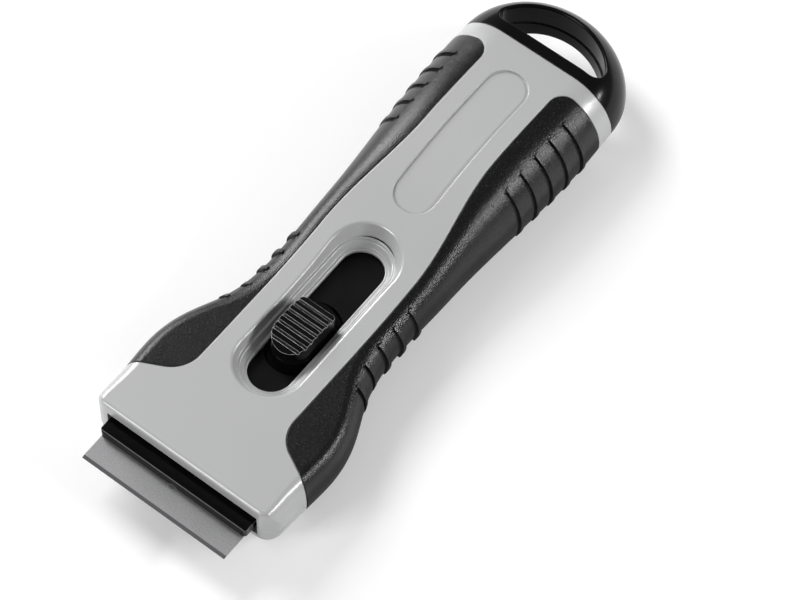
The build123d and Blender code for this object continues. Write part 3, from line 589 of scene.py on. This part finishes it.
# ---------------------------------------------------------------- operators
class SCRAPER_OT_shells(Operator):
    """Finish the two silver shells"""
    bl_idname = "scraper.shells"
    bl_label = "Silver shells"

    def execute(self, context):
        material = silver_plastic(context.scene.scraper.shell)
        for node in ("top_shell", "bottom_shell"):
            coat(node, material)
        return {"FINISHED"}


class SCRAPER_OT_grips(Operator):
    """Finish the two soft side grips"""
    bl_idname = "scraper.grips"
    bl_label = "Side grips"

    def execute(self, context):
        material = soft_rubber(context.scene.scraper.grip)
        for node in ("right_grip", "left_grip"):
            coat(node, material)
        return {"FINISHED"}


class SCRAPER_OT_gloss_parts(Operator):
    """Finish the gloss black hanging loop and blade clamp"""
    bl_idname = "scraper.gloss_parts"
    bl_label = "Loop and blade clamp"

    def execute(self, context):
        look = context.scene.scraper.black
        # the last value is the grey of each part's painted edge highlight
        for node, name, wear_and_highlight in (("hanging_loop", "gloss_black_loop", look.loop_wear),
                                 ("blade_clamp", "gloss_black_clamp", look.clamp_wear)):
            coat(node, black_plastic(name, look, look.gloss, look.gloss_roughness, look.edge, wear_and_highlight))
        return {"FINISHED"}


class SCRAPER_OT_slider(Operator):
    """Finish the satin black carrier and the ridged thumb button"""
    bl_idname = "scraper.slider"
    bl_label = "Slider and button"

    def execute(self, context):
        look = context.scene.scraper.black
        # the greys given here paint a highlight along the edges; on the button it starts from the ridges'
        # foot height
        coat("blade_carrier", black_plastic("satin_black_slider", look, look.satin, look.satin_roughness,
                                            look.edge, look.slider_wear))
        coat("thumb_button", black_plastic("ridged_black_button", look, look.gloss, look.gloss_roughness,
                                           look.ridge_edge, look.ridge_wear, look.ridge_foot))
        return {"FINISHED"}


class SCRAPER_OT_blade(Operator):
    """Finish the ground steel blade"""
    bl_idname = "scraper.blade"
    bl_label = "Blade"

    def execute(self, context):
        coat("blade", blade_steel(context.scene.scraper.blade))
        return {"FINISHED"}


class SCRAPER_OT_spring(Operator):
    """Wind the button's coil spring, which the button squeezes as it goes down; that squeeze is worked out
    but not applied
    """
    bl_idname = "scraper.spring"
    bl_label = "Button spring"

    def execute(self, context):
        look = context.scene.scraper
        low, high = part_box("button_spring")
        wound = coil(look.spring, low, high)
        mesh = bpy.data.meshes.new("coil_spring")
        wound.to_mesh(mesh)
        wound.free()
        smooth(mesh)
        mesh.materials.append(zinc("zinc_spring_wire", look.screw))
        piece = bpy.data.objects.new("coil_spring", mesh)
        context.scene.collection.objects.link(piece)
        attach(piece, "slider")
        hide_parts("button_spring")
        press = next(joint for joint in frame["joints"] if joint["name"] == "button_press")
        1.0 - press["range_m"][1] / (high.z - low.z)
        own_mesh(piece)
        return {"FINISHED"}


class SCRAPER_OT_screws(Operator):
    """Model the four case screws with their cross recesses and threads"""
    bl_idname = "scraper.screws"
    bl_label = "Case screws"

    def execute(self, context):
        look = context.scene.scraper.screw
        pattern = screw(look)
        one = bpy.data.meshes.new("case_screw")
        pattern.to_mesh(one)
        pattern.free()
        seats = screw_seats("case_screws")
        if len(seats) != SCREW_COUNT:
            raise RuntimeError(f"the screws' node has {len(seats)} solids, and {SCREW_COUNT} were meant")
        joined = bmesh.new()
        for k, seat in enumerate(seats):
            single = one.copy()
            turned = radians(17.0 + 31.0 * k)  # each recess stands its own way
            single.transform(Matrix.Translation(seat) @ Matrix.Rotation(turned, 4, "Z"))
            joined.from_mesh(single)
        mesh = bpy.data.meshes.new("cross_recess_screws")
        joined.to_mesh(mesh)
        joined.free()
        smooth(mesh)
        mesh.materials.append(zinc("zinc_screw_plate", look))
        piece = bpy.data.objects.new("cross_recess_screws", mesh)
        context.scene.collection.objects.link(piece)
        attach(piece, "handle")
        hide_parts("case_screws")
        return {"FINISHED"}


class SCRAPER_OT_stage(Operator):
    """Lay the floor and set up the lamps and the camera"""
    bl_idname = "scraper.stage"
    bl_label = "Studio"

    def execute(self, context):
        look = context.scene.scraper.stage
        lay_floor(look)
        light_world(look)
        for name, (size, place) in LAMPS.items():
            hang_lamp(f"{name}_lamp", getattr(look, name), size, Vector(place))
        set_camera(look)
        context.scene.view_settings.view_transform = "Standard"
        return {"FINISHED"}


def lay_floor(look):
    """White table that keeps the shadow near the part and fades to plain white away from it."""
    half = look.half
    mesh = bpy.data.meshes.new("table_top")
    corners = [(-half, -half, 0), (half, -half, 0), (half, half, 0), (-half, half, 0)]
    mesh.from_pydata(corners, [], [(0, 1, 2, 3)])
    finish = Finish(bpy.data.materials.new("white_table"))
    seen = finish.node("ShaderNodeLightPath", output="Is Camera Ray")
    mirrored = finish.node("ShaderNodeLightPath", output="Is Glossy Ray")
    through = finish.node("ShaderNodeLightPath", output="Is Transmission Ray")
    reach = finish.node("ShaderNodeVectorMath", {"operation": "LENGTH"}, {0: finish.place()}, "Value")
    white = finish.mix((look.lift, look.lift, look.lift, 1.0), (1.0, 1.0, 1.0, 1.0),
                       reach.fade(look.near, look.far))
    dull = finish.node("ShaderNodeBsdfDiffuse", {}, {"Color": (look.floor, look.floor, look.floor, 1.0)})
    glow = finish.node("ShaderNodeEmission", {},
                       {"Color": white, "Strength": (seen + mirrored + through).at_most(1.0)})
    both = finish.node("ShaderNodeAddShader", {}, {0: dull, 1: glow})
    finish.node("ShaderNodeOutputMaterial", {}, {"Surface": both})
    mesh.materials.append(finish.owner)
    floor = bpy.data.objects.new("table_top", mesh)
    floor.location.z = -TABLE_GAP
    bpy.context.scene.collection.objects.link(floor)


def light_world(look):
    """Even fill, white to the camera; mirrors see a studio that is half as bright overhead as low down."""
    world = bpy.data.worlds.new("studio")
    bpy.context.scene.world = world
    finish = Finish(world)
    height = finish.node("ShaderNodeSeparateXYZ", {},
                         {"Vector": finish.node("ShaderNodeTexCoord", output="Generated")}, "Z")
    seen = finish.node("ShaderNodeLightPath", output="Is Camera Ray")
    mirrored = finish.node("ShaderNodeLightPath", output="Is Glossy Ray")
    studio = (2.0 - height.fade(0.1, 0.7)) * look.ceiling
    shown = seen + mirrored * (1.0 - seen) * studio
    strength = shown + (1.0 - (seen + mirrored).at_most(1.0)) * look.fill
    back = finish.node("ShaderNodeBackground", {}, {"Color": (1.0, 1.0, 1.0, 1.0), "Strength": strength})
    finish.node("ShaderNodeOutputWorld", {}, {"Surface": back})


def hang_lamp(name, power, size, place):
    """Softbox that faces the handle, size wide and high."""
    lamp = bpy.data.lights.new(name, "AREA")
    lamp.energy = power
    lamp.shape = "RECTANGLE"
    lamp.size, lamp.size_y = size
    holder = bpy.data.objects.new(name, lamp)
    holder.matrix_world = Matrix.Translation(place) @ (-place).to_track_quat("-Z", "Y").to_matrix().to_4x4()
    bpy.context.scene.collection.objects.link(holder)


def set_camera(look):
    """The picture's viewpoint."""
    camera = bpy.data.cameras.new("picture_camera")
    camera.lens = look.lens
    camera.clip_start = 0.01
    holder = bpy.data.objects.new("picture_camera", camera)
    aim = Vector(look.view).to_track_quat("-Z", "Y").to_matrix().to_4x4()
    holder.matrix_world = Matrix.Translation(Vector(look.eye)) @ aim @ Matrix.Rotation(look.roll, 4, "Z")
    bpy.context.scene.collection.objects.link(holder)
    bpy.context.scene.camera = holder


class SCRAPER_PT_panel(Panel):
    """Every step of the scraper's looks, with its settings"""
    bl_idname = "SCRAPER_PT_panel"
    bl_label = "Hob scraper"
    bl_space_type = "VIEW_3D"
    bl_region_type = "UI"
    bl_category = "Scraper"

    def draw(self, context):
        settings = context.scene.scraper
        for step in STEPS:
            self.layout.operator(step.bl_idname)
        for group in settings.__annotations__:
            box = self.layout.box()
            box.label(text=settings.bl_rna.properties[group].name)
            values = getattr(settings, group)
            for name in values.__annotations__:
                box.prop(values, name)


STEPS = (SCRAPER_OT_shells, SCRAPER_OT_grips, SCRAPER_OT_gloss_parts, SCRAPER_OT_slider, SCRAPER_OT_blade,
         SCRAPER_OT_spring, SCRAPER_OT_screws, SCRAPER_OT_stage)
CLASSES = (ShellSettings, GripSettings, BlackSettings, BladeSettings, ScrewSettings, SpringSettings,
           StageSettings, ScraperSettings, *STEPS, SCRAPER_PT_panel)


def register():
    for kind in CLASSES:
        bpy.utils.register_class(kind)
    bpy.types.Scene.scraper = PointerProperty(type=ScraperSettings)


def unregister():
    del bpy.types.Scene.scraper
    for kind in reversed(CLASSES):
        bpy.utils.unregister_class(kind)


def main():
    register()
    for step in STEPS:
        group, name = step.bl_idname.split(".")
        getattr(getattr(bpy.ops, group), name)()


if __name__ == "__main__":
    main()
